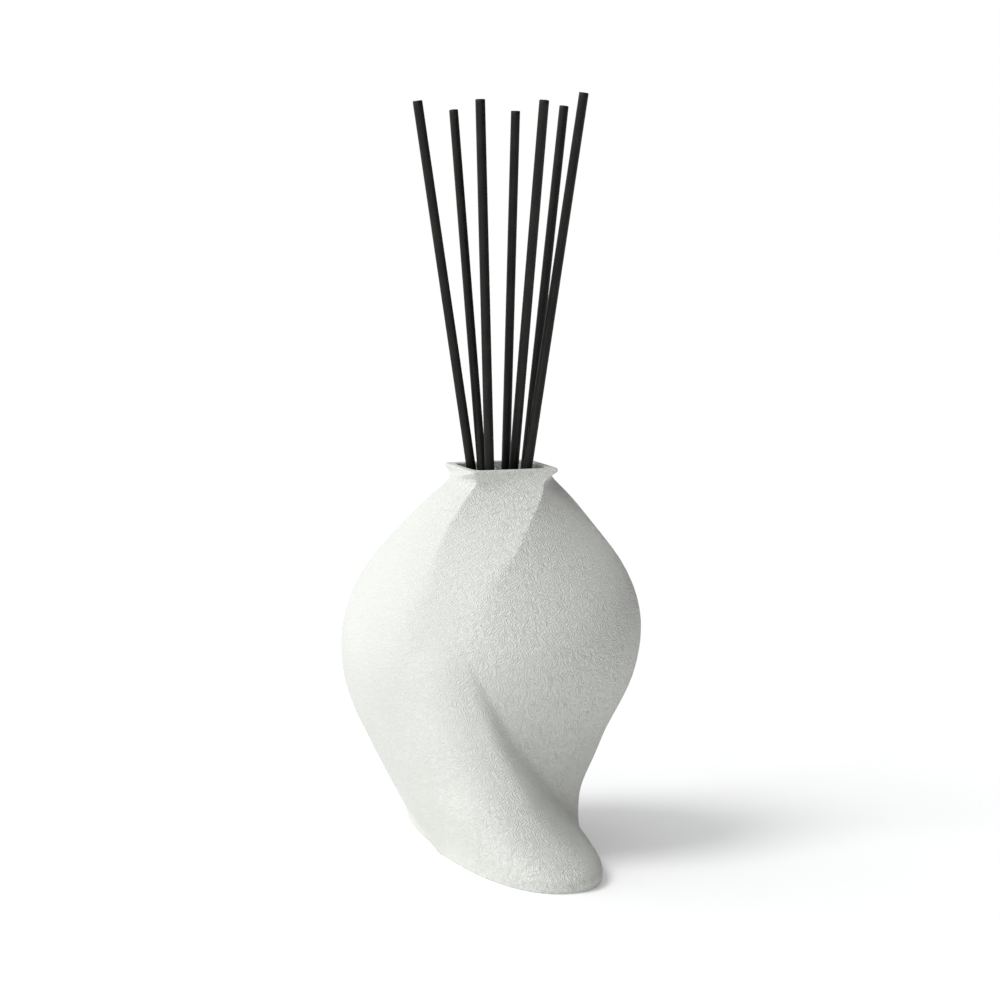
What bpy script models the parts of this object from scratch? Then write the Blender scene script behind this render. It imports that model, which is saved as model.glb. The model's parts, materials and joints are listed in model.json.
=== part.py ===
"""Reed diffuser: a sculptural slip-cast ceramic vase, its fragrance oil and seven straight black reeds.

Frame: metres, +Z up, origin at the middle of the vase's foot, on the surface it stands on. The front of
the vase, where one foot sweeps forward and to the right, faces -Y. Azimuths are measured at the origin
from -Y towards +X. The vase repeats itself after half a turn about Z, apart from a small sway.
"""
import math

import bmesh
import bpy
import numpy as np

MM = 0.001

# Driving dimensions of the vase, in millimetres.
VASE_HEIGHT = 122.6
FLOOR_THICKNESS = 5.0           # clay under the hollow
LIP_RADIUS = 1.1                # half the wall at the mouth
LIP_BOXINESS = 0.45             # 1 makes the lip a half round, less makes it boxier
FOOT_EDGE = 0.8                 # the foot's bottom edge is eased by this much

# Driving dimensions of the fill and the reeds, in millimetres.
OIL_LEVEL = 68.0
CLEARANCE = 0.3                 # between pieces that touch
OIL_CLEARANCE = 1.5             # from the fill to the sloping wall
CUTTER_LENGTH = 95.0            # cuts the reeds' channels from below the fill to above it
REED_SIDES = 12
# Each reed: where its axis meets the vase's inner floor, where it meets the mouth plane, its diameter and
# its cut length.
REEDS = (
    ((7.2, 10.1), (-9.5, -0.3), 3.05, 233.7),
    ((3.2, -13.0), (-6.1, -1.5), 2.90, 230.1),
    ((-0.7, -13.8), (-3.6, -8.7), 3.10, 231.6),
    ((-1.5, 18.5), (1.6, 8.8), 2.90, 228.6),
    ((-5.3, 17.8), (4.1, 0.6), 3.10, 233.7),
    ((-4.8, -4.9), (7.8, 3.2), 3.00, 231.4),
    ((-9.1, -4.7), (8.4, -3.4), 3.05, 235.8),
)

# The vase's sections, one column for each height, in millimetres and degrees. The belly is an oval with a
# side and a front radius. A flat band cuts into it at the front and back of the shoulder, and near the
# mouth two side flats make it square. Lower down the band turns into the two legs of the foot. A turn is
# an azimuth, a power of 2 is a true oval and a higher one is squarer, and a blend is a fillet.
HEIGHTS = (0, 4, 9.5, 19, 28.5, 39.5, 52, 66.5, 80.5, 95, 107.5, 115.5, 120, 122.6)
SWAY_X = (0, -0.6, -1.8, -4, -4.6, -5.2, -4.7, -3.5, -2.4, -1.3, -0.6, -0.2, 0, 0)
BELLY_SIDE = (19, 21.5, 25.6, 29.5, 33.8, 39, 45, 48, 46.5, 38.5, 27.2, 19.6, 16.2, 17)
BELLY_FRONT = (21, 22.8, 25.5, 29.5, 32.5, 34.7, 37.3, 39.5, 37, 32, 26, 24.5, 27.5, 30)
BELLY_TURN = (95, 95, 92, 88, 84, 80, 76, 74, 74, 78, 86, 98, 106, 112)
BELLY_POWER = (2, 2, 2, 2, 2, 2, 2, 2, 1.85, 1.6, 1.5, 1.45, 1.5, 2.1)
BAND_TURN = (21, 21, 17, 12, 6, -3, -13, -20, -21, -17, -7, 5.5, 15, 22)
BAND_HALF_ANGLE = (18, 18, 18.5, 19, 20, 17, 16, 15, 16.9, 20.9, 27, 34, 40, 45)
FAR_AWAY = 280.0                # a flat at this distance no longer cuts the belly
BAND_DISTANCE = (280, 280, 280, 280, 280, 95, 50, 39.7, 35.7, 29.05, 20.5, 16.1, 14.1, 14.3)
SIDE_DISTANCE = (280, 280, 280, 280, 280, 280, 280, 280, 280, 125, 38, 30, 15.2, 14.7)
RIDGE_SHARPNESS = (30, 30, 30, 30, 30, 30, 40, 60, 100, 150, 200, 200, 200, 200)
HOLLOW_SHARPNESS = (30, 30, 30, 30, 30, 30, 30, 30, 20, 16, 14, 12, 10, 8)
LEG_TURN = (20.5, 20.5, 18, 13, 9, 2.5, -5, -14, -20, -18, -16, -16, -16, -16)
LEG_REACH = (62.2, 63.2, 57.5, 50, 45.5, 42.7, 40.8, 38.5, 30, 16, 9.5, 9.5, 9.5, 9.5)
LEG_WIDTH_LEFT = (22, 22.6, 22.8, 23, 23.5, 24.5, 25, 22, 12, 7.6, 7, 7, 7, 7)
LEG_WIDTH_RIGHT = (20.4, 21.2, 21.4, 18.3, 14.6, 12, 10.4, 8.6, 7.8, 7.6, 7, 7, 7, 7)
LEG_POWER = (2.4, 2.4, 2.4, 2.4, 2.4, 2.4, 2.4, 2.6, 2.6, 2, 2, 2, 2, 2)
BLEND_RIGHT = (5, 6.3, 8.2, 7, 4.4, 2.8, 2.2, 1.9, 1.9, 1.9, 1.9, 1.9, 1.9, 1.9)
BLEND_LEFT = (5, 6, 8, 9, 9, 8, 7, 5, 1.9, 1.9, 1.9, 1.9, 1.9, 1.9)
WALL = (5, 5.2, 5.5, 5.2, 4.8, 4.4, 4.2, 4, 4.2, 5, 5, 3.4, 2.3, 2.2)

# Mesh density of the vase: columns across the band and across the side, rings outside and inside.
BAND_COLUMNS = 10
SIDE_COLUMNS = 22
OUTER_RINGS = 25
INNER_RINGS = 15
LIP_STEPS = 4
SHARP_ANGLE = 35.0              # degrees; a sharper edge is shaded as an edge


def smooth_curve(values, z):
    """A natural cubic spline through values at HEIGHTS, read at z."""
    xs = np.array(HEIGHTS, float)
    ys = np.array(values, float)
    count = len(xs)
    step = np.diff(xs)
    matrix = np.eye(count)
    slope_change = np.zeros(count)
    for i in range(1, count - 1):
        matrix[i, i - 1:i + 2] = (step[i - 1], 2 * (step[i - 1] + step[i]), step[i])
        slope_change[i] = 6 * ((ys[i + 1] - ys[i]) / step[i] - (ys[i] - ys[i - 1]) / step[i - 1])
    bend = np.linalg.solve(matrix, slope_change)
    i = min(max(int(np.searchsorted(xs, z)) - 1, 0), count - 2)
    h, below, above = step[i], z - xs[i], xs[i + 1] - z
    return ((bend[i] * above ** 3 + bend[i + 1] * below ** 3) / (6 * h)
            + (ys[i] / h - bend[i] * h / 6) * above + (ys[i + 1] / h - bend[i + 1] * h / 6) * below)


def straight_curve(values, z):
    return float(np.interp(z, HEIGHTS, values))


def distance_curve(values, z):
    """A flat's distance from the axis; it fades out smoothly where it lies far outside the belly."""
    return 1 / max(smooth_curve([1 / value for value in values], z), 1 / FAR_AWAY)


def softened_least(power, *distances):
    """The least of some distances, with the change from one to the next rounded more at a lower power."""
    return sum((1 / distance) ** power for distance in distances) ** (-1 / power)


def reach_of_flat(turn, distance):
    """How far out a flat lies in a direction turned from its own, at its front and its back."""
    return distance / max(abs(math.cos(turn)), 1e-9)


def section_radius(azimuth, z, inset, sharpness):
    """The vase's radius at an azimuth (radians) and height; inset moves every part of it inwards."""
    quarter = math.pi / 2
    from_belly = azimuth - math.radians(smooth_curve(BELLY_TURN, z))
    belly = softened_least(smooth_curve(BELLY_POWER, z),
                           reach_of_flat(from_belly, smooth_curve(BELLY_SIDE, z) - inset),
                           reach_of_flat(from_belly - quarter, smooth_curve(BELLY_FRONT, z) - inset))
    from_band = azimuth - math.radians(smooth_curve(BAND_TURN, z))
    body = softened_least(sharpness, belly,
                          reach_of_flat(from_band, distance_curve(BAND_DISTANCE, z) - inset),
                          reach_of_flat(from_band - quarter, distance_curve(SIDE_DISTANCE, z) - inset))

    from_leg = azimuth - math.radians(smooth_curve(LEG_TURN, z))
    right_share = 0.5 + 0.5 * math.tanh(5 * math.sin(2 * from_leg))
    left_width = smooth_curve(LEG_WIDTH_LEFT, z)
    width = left_width + (smooth_curve(LEG_WIDTH_RIGHT, z) - left_width) * right_share
    leg = softened_least(straight_curve(LEG_POWER, z),
                         reach_of_flat(from_leg, smooth_curve(LEG_REACH, z) - inset),
                         reach_of_flat(from_leg - quarter, width - inset))

    # Where the belly and the leg come within the blend of each other, a fillet joins them.
    left_blend = straight_curve(BLEND_LEFT, z)
    blend = left_blend + (straight_curve(BLEND_RIGHT, z) - left_blend) * right_share
    share = min(max(0.5 + 0.5 * (leg - body) / blend, 0), 1)
    return body + (leg - body) * share + blend * share * (1 - share)


def column_azimuths(z):
    """Azimuths of the mesh columns: the band's two edges always lie on a column."""
    middle = smooth_curve(BAND_TURN, z)
    half = smooth_curve(BAND_HALF_ANGLE, z)
    band = np.linspace(-half, half, BAND_COLUMNS, endpoint=False)
    side = np.linspace(half, 180 - half, SIDE_COLUMNS, endpoint=False)
    return np.radians(middle + np.concatenate((band, side, band + 180, side + 180)))


def ring(z, inset=0.0, height=None, sharpness=None):
    """One closed ring of points of the section at z, in metres, laid at the given height."""
    height = z if height is None else height
    sharpness = straight_curve(RIDGE_SHARPNESS, z) if sharpness is None else sharpness
    points = []
    for azimuth in column_azimuths(z):
        radius = section_radius(azimuth, z, inset, sharpness)
        x = smooth_curve(SWAY_X, z) + radius * math.sin(azimuth)
        y = -radius * math.cos(azimuth)
        points.append((x * MM, y * MM, height * MM))
    return points


def hollow_ring(z, clearance=0.0, height=None):
    """A ring of the hollow, or of what lies a clearance inside it."""
    return ring(z, straight_curve(WALL, z) + clearance, height, straight_curve(HOLLOW_SHARPNESS, z))


def body_from_rings(rings):
    """A closed mesh: rings bridged in order, with a fan over the first and the last."""
    bm = bmesh.new()
    loops = [[bm.verts.new(point) for point in points] for points in rings]
    for lower, upper in zip(loops, loops[1:]):
        for i in range(len(lower)):
            j = (i + 1) % len(lower)
            bm.faces.new((lower[i], lower[j], upper[j], upper[i]))
    for loop in (loops[0], loops[-1]):
        centre = sum((vertex.co for vertex in loop), loop[0].co * 0) / len(loop)
        middle = bm.verts.new(centre)
        for i in range(len(loop)):
            bm.faces.new((loop[i], loop[(i + 1) % len(loop)], middle))
    bmesh.ops.recalc_face_normals(bm, faces=bm.faces)
    return bm


def heights_between(low, high, count):
    """Heights that lie closer together near the mouth and the foot."""
    steps = np.linspace(0, math.pi, count)
    even = np.linspace(0, 1, count)
    return low + (high - low) * (0.45 * even + 0.55 * (0.5 - 0.5 * np.cos(steps)))


def lip_rings(lip_base):
    """Rings over the lip. It is boxy in section, and its corners go from sharp outside to round inside."""
    outside = 1 / straight_curve(RIDGE_SHARPNESS, lip_base)
    inside = 1 / straight_curve(HOLLOW_SHARPNESS, lip_base)
    rings = []
    for step in range(1, 2 * LIP_STEPS):
        turn = math.pi * step / (2 * LIP_STEPS)
        across = math.copysign(abs(math.cos(turn)) ** LIP_BOXINESS, math.cos(turn))
        share = (1 - across) / 2
        rise = LIP_RADIUS * math.sin(turn) ** LIP_BOXINESS
        rings.append(ring(lip_base, 2 * LIP_RADIUS * share, lip_base + rise,
                          1 / (outside + (inside - outside) * share)))
    return rings


def vase_mesh():
    lip_base = VASE_HEIGHT - LIP_RADIUS
    rings = [ring(0, FOOT_EDGE, 0)]
    rings += [ring(z) for z in heights_between(FOOT_EDGE, lip_base, OUTER_RINGS)]
    rings += lip_rings(lip_base)
    rings += [hollow_ring(z) for z in hollow_heights()[::-1]]
    return body_from_rings(rings)


def hollow_heights():
    return heights_between(FLOOR_THICKNESS, VASE_HEIGHT - LIP_RADIUS, INNER_RINGS)


def oil_mesh():
    """The fill: the hollow's own rings up to the level, drawn in all round and clear of the floor."""
    heights = [z for z in hollow_heights() if z < OIL_LEVEL]
    rings = [hollow_ring(z, OIL_CLEARANCE) for z in heights]
    rings[0] = hollow_ring(heights[0], OIL_CLEARANCE, heights[0] + CLEARANCE)
    return body_from_rings(rings)


def material(name, colour, roughness, transmission=0.0):
    new = bpy.data.materials.new(name)
    new.use_nodes = True
    shader = new.node_tree.nodes["Principled BSDF"]
    shader.inputs["Base Color"].default_value = (*colour, 1)
    shader.inputs["Roughness"].default_value = roughness
    shader.inputs["Metallic"].default_value = 0
    shader.inputs["Transmission Weight"].default_value = transmission
    new.diffuse_color = (*colour, 1)
    return new


def new_object(name, bm, look=None):
    mesh = bpy.data.meshes.new(name)
    bm.to_mesh(mesh)
    bm.free()
    mesh.shade_smooth()
    mesh.set_sharp_from_angle(angle=math.radians(SHARP_ANGLE))
    made = bpy.data.objects.new(name, mesh)
    bpy.context.scene.collection.objects.link(made)
    if look:
        mesh.materials.append(look)
    return made


def reed_axis(foot, mouth):
    """The reed's direction, from its foot on the inner floor to the mouth plane, as a unit vector."""
    direction = np.array((mouth[0] - foot[0], mouth[1] - foot[1], VASE_HEIGHT - FLOOR_THICKNESS))
    return direction / np.linalg.norm(direction)


def rod(name, foot, mouth, diameter, length, start, look=None):
    """A straight rod on a reed's axis; start is how far up the axis its lower end lies, in millimetres."""
    axis = reed_axis(foot, mouth)
    bm = bmesh.new()
    bmesh.ops.create_cone(bm, cap_ends=True, segments=REED_SIDES, radius1=diameter / 2 * MM,
                          radius2=diameter / 2 * MM, depth=length * MM)
    bmesh.ops.translate(bm, verts=bm.verts, vec=(0, 0, (start + length / 2) * MM))
    made = new_object(name, bm, look)
    made.location = (foot[0] * MM, foot[1] * MM, FLOOR_THICKNESS * MM)
    tilt_y = math.atan2(axis[0], axis[2])
    tilt_x = -math.asin(axis[1])
    made.rotation_euler = (tilt_x, tilt_y, 0)
    return made


def make_reeds():
    black = material("reed_black", (0.010, 0.010, 0.009), 0.55)
    for number, (foot, mouth, diameter, length) in enumerate(REEDS, start=1):
        # The lowest point of the square-cut end stays clear of the floor.
        sine = math.hypot(*reed_axis(foot, mouth)[:2])
        rod(f"reed_{number}", foot, mouth, diameter, length, CLEARANCE + diameter / 2 * sine, black)


def make_oil():
    amber = material("fragrance_oil", (0.62, 0.42, 0.16), 0.05, 0.8)
    oil = new_object("fragrance_oil", oil_mesh(), amber)
    for number, (foot, mouth, diameter, length) in enumerate(REEDS, start=1):
        wide = diameter + 2 * CLEARANCE
        cutter = rod(f"oil_cutter_{number}", foot, mouth, wide, CUTTER_LENGTH, -FLOOR_THICKNESS)
        cutter.hide_render = True
        cutter.display_type = "WIRE"
        cut = oil.modifiers.new(f"reed_{number}", "BOOLEAN")
        cut.operation = "DIFFERENCE"
        cut.object = cutter
    return oil


def main():
    for old in list(bpy.data.objects):
        bpy.data.objects.remove(old)
    ceramic = material("matt_ceramic", (0.76, 0.78, 0.73), 0.75)
    new_object("vase_body", vase_mesh(), ceramic)
    make_oil()
    make_reeds()


main()
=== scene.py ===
"""Looks of a reed diffuser: a matt ceramic vase with a leathery relief, its fragrance oil and black reeds."""
import json
import math

import bpy
import numpy as np
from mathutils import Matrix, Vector


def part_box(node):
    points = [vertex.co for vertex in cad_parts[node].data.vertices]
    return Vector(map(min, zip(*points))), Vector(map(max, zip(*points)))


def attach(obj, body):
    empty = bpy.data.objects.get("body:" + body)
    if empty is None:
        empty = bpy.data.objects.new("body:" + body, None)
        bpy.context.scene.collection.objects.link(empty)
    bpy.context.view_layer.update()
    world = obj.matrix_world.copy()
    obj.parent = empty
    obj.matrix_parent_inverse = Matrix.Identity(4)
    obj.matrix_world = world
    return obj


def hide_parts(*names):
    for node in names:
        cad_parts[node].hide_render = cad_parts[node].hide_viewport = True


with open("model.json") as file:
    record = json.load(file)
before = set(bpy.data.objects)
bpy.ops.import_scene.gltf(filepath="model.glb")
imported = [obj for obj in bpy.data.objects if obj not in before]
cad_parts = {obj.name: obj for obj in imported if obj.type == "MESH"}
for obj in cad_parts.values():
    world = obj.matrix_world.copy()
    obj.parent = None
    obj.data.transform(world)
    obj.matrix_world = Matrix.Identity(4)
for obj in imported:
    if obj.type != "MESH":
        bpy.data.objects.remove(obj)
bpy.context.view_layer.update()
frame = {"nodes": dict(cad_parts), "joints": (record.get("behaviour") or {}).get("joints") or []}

MM = 0.001
LOW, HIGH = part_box("vase_body")
VASE_HEIGHT = (HIGH.z - LOW.z) / MM
LIP_RADIUS = 1.1                # half the wall at the mouth
LIP_BOXINESS = 0.45             # 1 makes the lip a half round, less makes it boxier
FLOOR_THICKNESS = 5.0
FOOT_EDGE = 0.8
OIL_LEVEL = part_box("fragrance_oil")[1].z / MM

# The vase's sections, one column for each height, in millimetres and degrees. The belly is an oval with a
# side and a front radius. A flat band cuts into it at the front and back of the shoulder, and near the
# mouth two side flats make it square. Lower down the band turns into the two legs of the foot. A turn is
# an azimuth, a power of 2 is a true oval and a higher one is squarer, and a blend is a fillet.
HEIGHTS = np.array((0, 4, 9.5, 19, 28.5, 39.5, 52, 66.5, 80.5, 95, 107.5, 115.5, 120, 122.6))
SWAY_X = (0, -0.6, -1.8, -4, -4.6, -5.2, -4.7, -3.5, -2.4, -1.3, -0.6, -0.2, 0, 0)
BELLY_SIDE = (19, 21.5, 25.6, 29.5, 33.8, 39, 45, 48, 46.5, 38.5, 27.2, 19.6, 16.2, 17)
BELLY_FRONT = (21, 22.8, 25.5, 29.5, 32.5, 34.7, 37.3, 39.5, 37, 32, 26, 24.5, 27.5, 30)
BELLY_TURN = (95, 95, 92, 88, 84, 80, 76, 74, 74, 78, 86, 98, 106, 112)
BELLY_POWER = (2, 2, 2, 2, 2, 2, 2, 2, 1.85, 1.6, 1.5, 1.45, 1.5, 2.1)
BAND_TURN = (21, 21, 17, 12, 6, -3, -13, -20, -21, -17, -7, 5.5, 15, 22)
BAND_HALF_ANGLE = (18, 18, 18.5, 19, 20, 17, 16, 15, 16.9, 20.9, 27, 34, 40, 45)
FAR_AWAY = 280.0                # a flat at this distance no longer cuts the belly
BAND_DISTANCE = (280, 280, 280, 280, 280, 95, 50, 39.7, 35.7, 29.05, 20.5, 16.1, 14.1, 14.3)
SIDE_DISTANCE = (280, 280, 280, 280, 280, 280, 280, 280, 280, 125, 38, 30, 15.2, 14.7)
RIDGE_SHARPNESS = (30, 30, 30, 30, 30, 30, 40, 60, 100, 150, 200, 200, 200, 200)
HOLLOW_SHARPNESS = (30, 30, 30, 30, 30, 30, 30, 30, 20, 16, 14, 12, 10, 8)
LEG_TURN = (20.5, 20.5, 18, 13, 9, 2.5, -5, -14, -20, -18, -16, -16, -16, -16)
LEG_REACH = (62.2, 63.2, 57.5, 50, 45.5, 42.7, 40.8, 38.5, 30, 16, 9.5, 9.5, 9.5, 9.5)
LEG_WIDTH_LEFT = (22, 22.6, 22.8, 23, 23.5, 24.5, 25, 22, 12, 7.6, 7, 7, 7, 7)
LEG_WIDTH_RIGHT = (20.4, 21.2, 21.4, 18.3, 14.6, 12, 10.4, 8.6, 7.8, 7.6, 7, 7, 7, 7)
LEG_POWER = (2.4, 2.4, 2.4, 2.4, 2.4, 2.4, 2.4, 2.6, 2.6, 2, 2, 2, 2, 2)
BLEND_RIGHT = (5, 6.3, 8.2, 7, 4.4, 2.8, 2.2, 1.9, 1.9, 1.9, 1.9, 1.9, 1.9, 1.9)
BLEND_LEFT = (5, 6, 8, 9, 9, 8, 7, 5, 1.9, 1.9, 1.9, 1.9, 1.9, 1.9)
WALL = (5, 5.2, 5.5, 5.2, 4.8, 4.4, 4.2, 4, 4.2, 5, 5, 3.4, 2.3, 2.2)

# Mesh density: columns across the band and the side, rings outside and inside, steps round the lip.
BAND_COLUMNS = 76
SIDE_COLUMNS = 150
OUTER_RINGS = 230
INNER_RINGS = 44
LIP_STEPS = 12
REED_COLUMNS = 40
REED_RINGS = 70

# Fine shape, in millimetres.
HAND_WAVER = 0.06               # how far the hand-finished surface strays from the true shape
OIL_GAP = 0.35                  # between the oil and the vase
OIL_FOOT_EASE = 0.8             # how much narrower the oil's bottom edge is
MENISCUS_RISE = 1.2             # the oil's edge is drawn up the wall by this much
MENISCUS_WIDTH = 1.3
REED_CHAMFER = 0.14
PORE_DEPTH = 0.16               # of the pores in a reed's cut ends

# Light, camera and grain. Azimuths are in degrees from the front, and grow towards the right.
FILL_BRIGHT, FILL_DIM = 1.36, 0.07      # strength of the studio's bright and dim sides
DIM_SIDE = (0.975, 0.22, 0)     # the dim side lies to the right and slightly behind
KEY_LIGHT = 1.5
KEY_AZIMUTH, KEY_ELEVATION, KEY_WIDTH = -62, 54, 26
FLOOR_GLOW = 0.21               # a lit table top: it lifts the shadow
FLOOR_HALF_WIDTH = 6.0          # metres
CAMERA_DISTANCE = 0.8374        # metres
CAMERA_TILT = 7                 # degrees, downwards
CAMERA_AIM = (-0.0003, 0, 0.1115)
CAMERA_LENS = 95.4
GRAIN_DEPTH = 0.00042           # metres, crest to hollow


def smooth_curve(values, z):
    """A natural cubic spline through values at HEIGHTS, read at the heights z."""
    ys = np.array(values, float)
    count = len(ys)
    step = np.diff(HEIGHTS)
    matrix = np.eye(count)
    change = np.zeros(count)
    for i in range(1, count - 1):
        matrix[i, i - 1:i + 2] = (step[i - 1], 2 * (step[i - 1] + step[i]), step[i])
        change[i] = 6 * ((ys[i + 1] - ys[i]) / step[i] - (ys[i] - ys[i - 1]) / step[i - 1])
    bend = np.linalg.solve(matrix, change)
    i = np.clip(np.searchsorted(HEIGHTS, z) - 1, 0, count - 2)
    h, below, above = step[i], z - HEIGHTS[i], HEIGHTS[i + 1] - z
    return ((bend[i] * above ** 3 + bend[i + 1] * below ** 3) / (6 * h)
            + (ys[i] / h - bend[i] * h / 6) * above + (ys[i + 1] / h - bend[i + 1] * h / 6) * below)


def straight_curve(values, z):
    return np.interp(z, HEIGHTS, values)


def distance_curve(values, z):
    """A flat's distance from the axis; it fades out smoothly where it lies far outside the belly."""
    return 1 / np.maximum(smooth_curve(1 / np.array(values), z), 1 / FAR_AWAY)


def softened_least(power, *distances):
    """The least of some distances, with the change from one to the next rounded more at a lower power."""
    least = np.minimum.reduce(distances)
    return least * sum((least / distance) ** power for distance in distances) ** (-1 / power)


def reach_of_flat(turn, distance):
    """How far out a flat lies in a direction turned from its own, at its front and its back."""
    return distance / np.maximum(np.abs(np.cos(turn)), 1e-9)


def section_radius(azimuth, z, inset, sharpness):
    """The vase's radius at each azimuth and height; inset moves every part of the section inwards."""
    quarter = math.pi / 2
    from_belly = azimuth - np.radians(smooth_curve(BELLY_TURN, z))
    belly = softened_least(smooth_curve(BELLY_POWER, z),
                           reach_of_flat(from_belly, smooth_curve(BELLY_SIDE, z) - inset),
                           reach_of_flat(from_belly - quarter, smooth_curve(BELLY_FRONT, z) - inset))
    from_band = azimuth - np.radians(smooth_curve(BAND_TURN, z))
    body = softened_least(sharpness, belly,
                          reach_of_flat(from_band, distance_curve(BAND_DISTANCE, z) - inset),
                          reach_of_flat(from_band - quarter, distance_curve(SIDE_DISTANCE, z) - inset))

    from_leg = azimuth - np.radians(smooth_curve(LEG_TURN, z))
    right_share = 0.5 + 0.5 * np.tanh(5 * np.sin(2 * from_leg))
    left_width = smooth_curve(LEG_WIDTH_LEFT, z)
    width = left_width + (smooth_curve(LEG_WIDTH_RIGHT, z) - left_width) * right_share
    leg = softened_least(straight_curve(LEG_POWER, z),
                         reach_of_flat(from_leg, smooth_curve(LEG_REACH, z) - inset),
                         reach_of_flat(from_leg - quarter, width - inset))

    # Where the belly and the leg come within the blend of each other, a fillet joins them.
    left_blend = straight_curve(BLEND_LEFT, z)
    blend = left_blend + (straight_curve(BLEND_RIGHT, z) - left_blend) * right_share
    share = np.clip(0.5 + 0.5 * (leg - body) / blend, 0, 1)
    return body + (leg - body) * share + blend * share * (1 - share)


def ring(z, inset=0.0, height=None, sharpness=None):
    """One closed ring of the section at z, as rows of x, y, z in millimetres, laid at the given height."""
    half = float(smooth_curve(BAND_HALF_ANGLE, z))
    band = np.linspace(-half, half, BAND_COLUMNS, endpoint=False)
    side = np.linspace(half, 180 - half, SIDE_COLUMNS, endpoint=False)
    azimuth = np.radians(float(smooth_curve(BAND_TURN, z))
                         + np.concatenate((band, side, band + 180, side + 180)))
    sharpness = straight_curve(RIDGE_SHARPNESS, z) if sharpness is None else sharpness
    radius = section_radius(azimuth, np.full_like(azimuth, z), inset, sharpness)
    x = float(smooth_curve(SWAY_X, z)) + radius * np.sin(azimuth)
    return np.stack((x, -radius * np.cos(azimuth), np.full_like(x, z if height is None else height)), axis=1)


def hollow_ring(z, clearance=0.0, height=None):
    """A ring of the hollow, or of what lies a clearance inside it."""
    return ring(z, straight_curve(WALL, z) + clearance, height, straight_curve(HOLLOW_SHARPNESS, z))


def lip_rings(lip_base):
    """Rings over the lip. It is boxy in section, and its corners go from sharp outside to round inside."""
    outside = 1 / straight_curve(RIDGE_SHARPNESS, lip_base)
    inside = 1 / straight_curve(HOLLOW_SHARPNESS, lip_base)
    rings = []
    for step in range(1, 2 * LIP_STEPS):
        turn = math.pi * step / (2 * LIP_STEPS)
        across = math.copysign(abs(math.cos(turn)) ** LIP_BOXINESS, math.cos(turn))
        share = (1 - across) / 2
        rise = LIP_RADIUS * math.sin(turn) ** LIP_BOXINESS
        rings.append(ring(lip_base, 2 * LIP_RADIUS * share, lip_base + rise,
                          1 / (outside + (inside - outside) * share)))
    return rings


def value_noise(points, seed):
    """Smooth noise between -1 and 1 on a cubic lattice, the same on each run."""
    cell = np.floor(points).astype(np.int64)
    t = points - cell
    t = t * t * t * (t * (t * 6 - 15) + 10)
    total = np.zeros(len(points))
    for corner in np.ndindex(2, 2, 2):
        at = cell + corner
        mixed = (at[:, 0] * 73856093) ^ (at[:, 1] * 19349663) ^ (at[:, 2] * 83492791) ^ (seed * 2654435761)
        mixed = (mixed ^ (mixed >> 13)) * 1274126177
        value = ((mixed ^ (mixed >> 16)) & 0xFFFF) / 32767.5 - 1
        share = np.where(np.array(corner) == 1, t, 1 - t).prod(axis=1)
        total += value * share
    return total


def mesh_from_rings(name, rings):
    """A closed mesh object: rings bridged in order, with a fan over the first and the last."""
    count = len(rings[0])
    points = np.concatenate(rings + [rings[0].mean(axis=0)[None], rings[-1].mean(axis=0)[None]]) * MM
    faces = []
    around = np.arange(count)
    ahead = (around + 1) % count
    for level in range(len(rings) - 1):
        low, high = level * count, (level + 1) * count
        faces.extend(np.stack((low + around, low + ahead, high + ahead, high + around), axis=1).tolist())
    last = (len(rings) - 1) * count
    first_middle = len(points) - 2
    faces.extend(np.stack((ahead, around, np.full(count, first_middle)), axis=1).tolist())
    faces.extend(np.stack((last + around, last + ahead, np.full(count, first_middle + 1)), axis=1).tolist())
    mesh = bpy.data.meshes.new(name)
    mesh.from_pydata(points.tolist(), [], faces)
    mesh.update()
    mesh.shade_smooth()
    made = bpy.data.objects.new(name, mesh)
    bpy.context.scene.collection.objects.link(made)
    return made


def heights_between(low, high, count):
    """Heights that lie closer together near the mouth and the foot."""
    even = np.linspace(0, 1, count)
    return low + (high - low) * (0.6 * even + 0.4 * (0.5 - 0.5 * np.cos(math.pi * even)))


def make_vase():
    lip_base = VASE_HEIGHT - LIP_RADIUS
    rings = []
    for turn in np.linspace(0, math.pi / 2, 6):
        inset = FOOT_EDGE * (1 - math.sin(turn))
        rings.append(ring(FOOT_EDGE, inset, FOOT_EDGE * (1 - math.cos(turn))))
    rings += [ring(z) for z in heights_between(FOOT_EDGE, lip_base, OUTER_RINGS)[1:]]
    rings += lip_rings(lip_base)
    rings += [hollow_ring(z) for z in heights_between(FLOOR_THICKNESS, lip_base, INNER_RINGS)[::-1]]
    vase = mesh_from_rings("vase", rings)
    waver_by_hand(vase, len(rings[0]) * (OUTER_RINGS + 4))
    return vase


def waver_by_hand(vase, outer_count):
    """Slow unevenness of a hand-finished surface, on the outside between the foot's edge and the lip."""
    mesh = vase.data
    points = np.zeros(len(mesh.vertices) * 3)
    normals = np.zeros(len(mesh.vertices) * 3)
    mesh.vertices.foreach_get("co", points)
    mesh.vertices.foreach_get("normal", normals)
    points = points.reshape(-1, 3)
    normals = normals.reshape(-1, 3)
    in_mm = points / MM
    waver = (0.6 * value_noise(in_mm / 9.0, 3) + 0.4 * value_noise(in_mm / 4.0, 5)
             + 0.25 * value_noise(in_mm / 1.9, 7))
    fade = np.clip((in_mm[:, 2] - 1.5) / 6, 0, 1) * np.clip((VASE_HEIGHT - 2.5 - in_mm[:, 2]) / 8, 0, 1)
    waver *= fade * HAND_WAVER * MM
    waver[outer_count:] = 0
    mesh.vertices.foreach_set("co", (points + normals * waver[:, None]).ravel())
    mesh.update()


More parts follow.
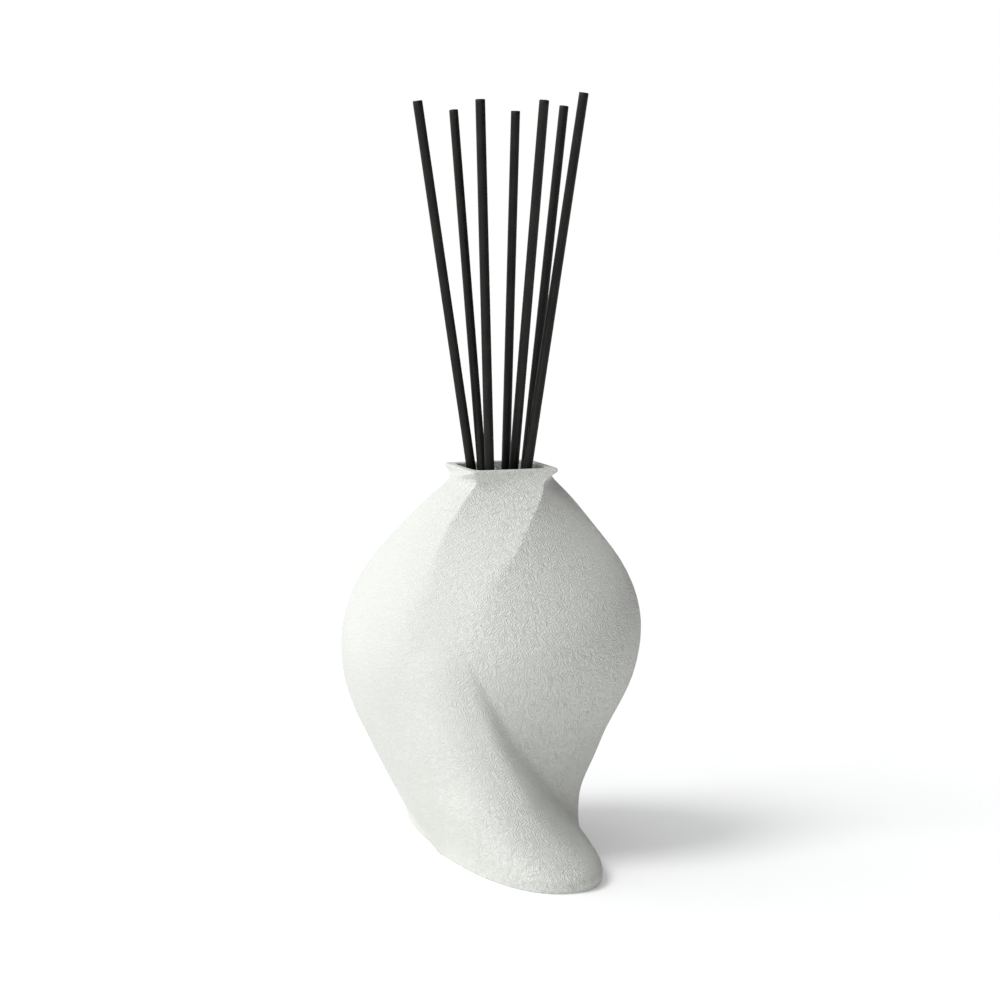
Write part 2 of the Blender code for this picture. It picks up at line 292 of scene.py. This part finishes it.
def make_oil():
    """The fill, with its edge drawn up the wall in a small meniscus."""
    surface = OIL_LEVEL - 0.2
    heights = [z for z in heights_between(FLOOR_THICKNESS, VASE_HEIGHT - LIP_RADIUS, INNER_RINGS)
               if z < surface]
    rings = [hollow_ring(z, OIL_GAP) for z in heights]
    rings[0] = hollow_ring(heights[0], OIL_GAP + OIL_FOOT_EASE, heights[0] + OIL_GAP)
    wall = hollow_ring(surface, OIL_GAP)
    middle = wall.mean(axis=0)
    for share in (1.0, 0.985, 0.965, 0.94, 0.9, 0.8, 0.6, 0.4, 0.2, 0.08):
        inner = middle + (wall - middle) * share
        from_wall = np.linalg.norm((wall - inner)[:, :2], axis=1)
        inner[:, 2] = surface - MENISCUS_RISE + MENISCUS_RISE * np.exp(-from_wall / MENISCUS_WIDTH)
        rings.append(inner)
    return mesh_from_rings("oil", rings)


def make_reed(number):
    """A straight fibre reed on its CAD rod's axis: shallow lengthwise flutes and cut, porous ends."""
    node = frame["nodes"][f"reed_{number}"]
    joint = next(j for j in frame["joints"] if j["child"] == f"reed_{number}_body")
    axis = Vector(joint["axis"]).normalized()
    points = np.array([v.co for v in node.data.vertices])
    centre = Vector(points.min(axis=0) + points.max(axis=0)) / 2
    along = (points - np.array(centre)) @ np.array(axis)
    across = points - np.array(centre) - along[:, None] * np.array(axis)
    radius = np.linalg.norm(across, axis=1).max() / MM
    low, high = along.min() / MM, along.max() / MM
    side_axis = axis.orthogonal().normalized()
    front_axis = axis.cross(side_axis)
    turn = np.linspace(0, 2 * math.pi, REED_COLUMNS, endpoint=False)
    end_rings = [(share, 0) for share in (0.12, 0.35, 0.6, 0.8, 1 - REED_CHAMFER / radius)]
    end_rings.append((1, REED_CHAMFER))
    stations = [(share, low + depth) for share, depth in end_rings]
    stations += [(1, z) for z in np.linspace(low + 1.5, high - 1.5, REED_RINGS)]
    stations += [(share, high - depth) for share, depth in end_rings[::-1]]
    rings = []
    for share, z in stations:
        circle = np.stack((np.cos(turn), np.sin(turn), np.full(REED_COLUMNS, 0.0)), axis=1)
        level = np.full(REED_COLUMNS, z)
        flute = value_noise(np.stack((circle[:, 0] * 3.4, circle[:, 1] * 3.4, level / 60), axis=1),
                            11 + number)
        slow = value_noise(np.stack((level / 45, circle[:, 0], circle[:, 1]), axis=1), 31 + number)
        r = radius * share * (0.982 + 0.012 * flute * (share > 0.7) + 0.006 * slow)
        lift = np.zeros(REED_COLUMNS)
        if share < 0.95:
            cut = circle[:, :2] * share * 5
            pores = value_noise(np.stack((cut[:, 0], cut[:, 1], level / 50), axis=1), 51 + number)
            lift = -PORE_DEPTH * np.clip(pores, 0, 1) * (1 if z > 0 else -1)
        x, y = r * circle[:, 0], r * circle[:, 1]
        ring_points = (np.array(centre) / MM + np.outer(x, side_axis) + np.outer(y, front_axis)
                       + np.outer(z + lift, axis))
        rings.append(ring_points)
    return mesh_from_rings(f"reed_{number}_fibre", rings)


def node_material(name):
    new = bpy.data.materials.new(name)
    new.use_nodes = True
    return new, new.node_tree, new.node_tree.nodes["Principled BSDF"]


def add_node(tree, kind, **settings):
    node = tree.nodes.new(kind)
    for key, value in settings.items():
        if key in node.inputs:
            node.inputs[key].default_value = value
        else:
            setattr(node, key, value)
    return node


def ramp(tree, source, stops):
    """A colour ramp over a factor; stops are (position, colour or grey)."""
    node = tree.nodes.new("ShaderNodeValToRGB")
    while len(node.color_ramp.elements) < len(stops):
        node.color_ramp.elements.new(0.5)
    for element, (position, value) in zip(node.color_ramp.elements, stops):
        element.position = position
        element.color = (*value, 1) if isinstance(value, tuple) else (value, value, value, 1)
    tree.links.new(source, node.inputs["Fac"])
    return node.outputs["Color"]


def object_points(tree):
    return tree.nodes.new("ShaderNodeTexCoord").outputs["Object"]


def ceramic_material():
    """Matt bone-white clay with a fine leathery grain: short bent wrinkles well under a millimetre apart."""
    made, tree, shader = node_material("matt_leather_grain_ceramic")
    place = object_points(tree)
    # Two sets of bent wrinkles that lean opposite ways take turns from patch to patch.
    fields = []
    for lean in ((-1.0, 1.0, 1.0), (1.1, 0.8, 0.6)):
        turned = tree.nodes.new("ShaderNodeMapping")
        turned.inputs["Scale"].default_value = lean
        tree.links.new(place, turned.inputs["Vector"])
        wave = add_node(tree, "ShaderNodeTexWave", wave_type="BANDS", bands_direction="DIAGONAL", Scale=520.0,
                        Distortion=10.0, Detail=2.5)
        wave.inputs["Detail Scale"].default_value = 1.3
        tree.links.new(turned.outputs[0], wave.inputs["Vector"])
        fields.append(wave.outputs["Fac"])
    turns = add_node(tree, "ShaderNodeTexNoise", Scale=560.0, Detail=2.0)
    tree.links.new(place, turns.inputs["Vector"])
    wrinkles = add_node(tree, "ShaderNodeMix", data_type="FLOAT")
    tree.links.new(ramp(tree, turns.outputs["Fac"], ((0.4, 0.0), (0.6, 1.0))), wrinkles.inputs["Factor"])
    tree.links.new(fields[0], wrinkles.inputs["A"])
    tree.links.new(fields[1], wrinkles.inputs["B"])
    fine = add_node(tree, "ShaderNodeTexNoise", Scale=1500.0, Detail=3.0, Roughness=0.6)
    tree.links.new(place, fine.inputs["Vector"])
    patches = add_node(tree, "ShaderNodeTexNoise", Scale=90.0, Detail=2.0, Roughness=0.5)
    tree.links.new(place, patches.inputs["Vector"])
    relief = add_node(tree, "ShaderNodeMix", data_type="FLOAT")
    relief.inputs["Factor"].default_value = 0.35
    tree.links.new(wrinkles.outputs["Result"], relief.inputs["A"])
    tree.links.new(fine.outputs["Fac"], relief.inputs["B"])
    # The relief is shallower on the left side of the vase.
    across = tree.nodes.new("ShaderNodeSeparateXYZ")
    tree.links.new(place, across.inputs[0])
    depth_by_side = add_node(tree, "ShaderNodeMapRange", interpolation_type="SMOOTHSTEP")
    for name, value in (("From Min", -0.045), ("From Max", 0.015), ("To Min", 0.35), ("To Max", 1.0)):
        depth_by_side.inputs[name].default_value = value
    tree.links.new(across.outputs["X"], depth_by_side.inputs["Value"])
    strength = add_node(tree, "ShaderNodeMath", operation="MULTIPLY")
    tree.links.new(ramp(tree, patches.outputs["Fac"], ((0.25, 0.8), (0.75, 1.0))), strength.inputs[0])
    tree.links.new(depth_by_side.outputs["Result"], strength.inputs[1])
    bump = add_node(tree, "ShaderNodeBump", Distance=GRAIN_DEPTH)
    tree.links.new(relief.outputs["Result"], bump.inputs["Height"])
    tree.links.new(strength.outputs["Value"], bump.inputs["Strength"])
    tree.links.new(bump.outputs["Normal"], shader.inputs["Normal"])
    # The colour is slightly warmer and darker in the grain's hollows, which is painted shade, with the crests
    # a touch lighter, and it drifts a little from place to place.
    tint = ramp(tree, patches.outputs["Fac"], ((0.3, (0.645, 0.654, 0.619)), (0.7, (0.666, 0.674, 0.640))))
    # painted shade: the grain's hollows darker and its crests lighter in the base colour
    painted_grain_shade = ramp(tree, relief.outputs["Result"], ((0.25, 0.965), (0.75, 1.01)))
    colour = add_node(tree, "ShaderNodeMix", data_type="RGBA", blend_type="MULTIPLY")
    colour.inputs["Factor"].default_value = 1.0
    tree.links.new(tint, colour.inputs["A"])
    tree.links.new(painted_grain_shade, colour.inputs["B"])
    tree.links.new(colour.outputs["Result"], shader.inputs["Base Color"])
    tree.links.new(ramp(tree, fine.outputs["Fac"], ((0.3, 0.66), (0.7, 0.8))), shader.inputs["Roughness"])
    shader.inputs["Specular IOR Level"].default_value = 0.35
    return made


def reed_material():
    """Black dyed fibre: satin, with fine lengthwise streaks and a faint brown where the dye is thin."""
    made, tree, shader = node_material("black_dyed_fibre")
    place = object_points(tree)
    stretch = add_node(tree, "ShaderNodeMapping")
    stretch.inputs["Scale"].default_value = (1.0, 1.0, 0.035)
    tree.links.new(place, stretch.inputs["Vector"])
    streaks = add_node(tree, "ShaderNodeTexNoise", Scale=2600.0, Detail=3.0, Roughness=0.6)
    tree.links.new(stretch.outputs[0], streaks.inputs["Vector"])
    patches = add_node(tree, "ShaderNodeTexNoise", Scale=120.0, Detail=2.0)
    tree.links.new(place, patches.inputs["Vector"])
    thin_dye = ramp(tree, patches.outputs["Fac"],
                    ((0.45, (0.004, 0.004, 0.0038)), (0.75, (0.010, 0.009, 0.006))))
    streak_tone = ramp(tree, streaks.outputs["Fac"], ((0.35, 0.4), (0.65, 1.8)))
    colour = add_node(tree, "ShaderNodeMix", data_type="RGBA", blend_type="MULTIPLY")
    colour.inputs["Factor"].default_value = 1.0
    tree.links.new(thin_dye, colour.inputs["A"])
    tree.links.new(streak_tone, colour.inputs["B"])
    tree.links.new(colour.outputs["Result"], shader.inputs["Base Color"])
    tree.links.new(ramp(tree, streaks.outputs["Fac"], ((0.3, 0.36), (0.7, 0.62))), shader.inputs["Roughness"])
    bump = add_node(tree, "ShaderNodeBump", Distance=0.00006, Strength=0.6)
    tree.links.new(streaks.outputs["Fac"], bump.inputs["Height"])
    tree.links.new(bump.outputs["Normal"], shader.inputs["Normal"])
    shader.inputs["Specular IOR Level"].default_value = 0.24
    return made


def oil_material():
    """Clear amber fragrance oil with faint density streaks."""
    made, tree, shader = node_material("amber_fragrance_oil")
    swirl = add_node(tree, "ShaderNodeTexNoise", Scale=45.0, Detail=2.0)
    tree.links.new(object_points(tree), swirl.inputs["Vector"])
    tint = ramp(tree, swirl.outputs["Fac"], ((0.3, (0.80, 0.58, 0.27)), (0.7, (0.86, 0.66, 0.34))))
    tree.links.new(tint, shader.inputs["Base Color"])
    tree.links.new(ramp(tree, swirl.outputs["Fac"], ((0.3, 0.02), (0.7, 0.05))), shader.inputs["Roughness"])
    shader.inputs["Transmission Weight"].default_value = 0.9
    shader.inputs["IOR"].default_value = 1.45
    return made


def make_floor():
    """A plain pale floor, so wide that its edge is lost in the white surroundings."""
    half = FLOOR_HALF_WIDTH
    mesh = bpy.data.meshes.new("floor")
    corners = [(-half, -half, 0), (half, -half, 0), (half, half, 0), (-half, half, 0)]
    mesh.from_pydata(corners, [], [(0, 1, 2, 3)])
    floor = bpy.data.objects.new("floor", mesh)
    floor.location.z = LOW.z
    bpy.context.scene.collection.objects.link(floor)
    made, tree, shader = node_material("pale_floor")
    grain = add_node(tree, "ShaderNodeTexNoise", Scale=30.0, Detail=3.0)
    tree.links.new(object_points(tree), grain.inputs["Vector"])
    tree.links.new(ramp(tree, grain.outputs["Fac"], ((0.3, 0.80), (0.7, 0.81))), shader.inputs["Base Color"])
    shader.inputs["Roughness"].default_value = 0.9
    shader.inputs["Specular IOR Level"].default_value = 0.0
    shader.inputs["Emission Color"].default_value = (1, 1, 1, 1)
    shader.inputs["Emission Strength"].default_value = FLOOR_GLOW
    mesh.materials.append(made)
    return floor


def make_key_light():
    """A large, far softbox: from the left, a little in front, well above the vase."""
    azimuth, elevation = math.radians(KEY_AZIMUTH), math.radians(KEY_ELEVATION)
    towards = Vector((math.sin(azimuth) * math.cos(elevation), -math.cos(azimuth) * math.cos(elevation),
                      math.sin(elevation)))
    light = bpy.data.lights.new("key", "SUN")
    light.energy = KEY_LIGHT
    light.angle = math.radians(KEY_WIDTH)
    made = bpy.data.objects.new("key", light)
    made.rotation_euler = towards.to_track_quat("Z", "Y").to_euler()
    bpy.context.scene.collection.objects.link(made)


def make_surroundings():
    """White all round for the eye; for the light, a studio with a bright side and a dim side."""
    world = bpy.data.worlds.new("studio")
    world.use_nodes = True
    tree = world.node_tree
    fill = tree.nodes["Background"]
    fill.inputs["Color"].default_value = (0.985, 0.993, 1.0, 1)
    direction = tree.nodes.new("ShaderNodeTexCoord")
    across = add_node(tree, "ShaderNodeVectorMath", operation="DOT_PRODUCT")
    across.inputs[1].default_value = DIM_SIDE
    tree.links.new(direction.outputs["Generated"], across.inputs[0])
    side = add_node(tree, "ShaderNodeMapRange", interpolation_type="SMOOTHSTEP")
    for name, value in (("From Min", -1.0), ("From Max", 0.8), ("To Min", FILL_BRIGHT), ("To Max", FILL_DIM)):
        side.inputs[name].default_value = value
    tree.links.new(across.outputs["Value"], side.inputs["Value"])
    tree.links.new(side.outputs["Result"], fill.inputs["Strength"])
    seen = add_node(tree, "ShaderNodeBackground")
    seen.inputs["Color"].default_value = (1, 1, 1, 1)
    seen.inputs["Strength"].default_value = 1.0
    eye = tree.nodes.new("ShaderNodeLightPath")
    mix = tree.nodes.new("ShaderNodeMixShader")
    tree.links.new(eye.outputs["Is Camera Ray"], mix.inputs["Fac"])
    tree.links.new(fill.outputs[0], mix.inputs[1])
    tree.links.new(seen.outputs[0], mix.inputs[2])
    tree.links.new(mix.outputs[0], tree.nodes["World Output"].inputs["Surface"])
    bpy.context.scene.world = world


def make_camera():
    """A long lens a little above the mouth, tilted slightly down, straight at the vase's front."""
    tilt = math.radians(CAMERA_TILT)
    back = Vector((0, -math.cos(tilt), math.sin(tilt)))
    camera = bpy.data.cameras.new("camera")
    camera.sensor_width = 36
    camera.lens = CAMERA_LENS
    made = bpy.data.objects.new("camera", camera)
    made.location = Vector(CAMERA_AIM) + CAMERA_DISTANCE * back
    made.rotation_euler = (math.pi / 2 - tilt, 0, 0)
    bpy.context.scene.collection.objects.link(made)
    bpy.context.scene.camera = made


def place_piece(piece, body, node, look):
    piece.data.materials.append(look)
    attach(piece, body)
    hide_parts(node)


make_camera()
make_surroundings()
make_key_light()
bpy.context.scene.view_settings.view_transform = "Standard"
make_floor()

place_piece(make_vase(), "vase", "vase_body", ceramic_material())
place_piece(make_oil(), "vase", "fragrance_oil", oil_material())
fibre = reed_material()
for number in range(1, 8):
    place_piece(make_reed(number), f"reed_{number}_body", f"reed_{number}", fibre)
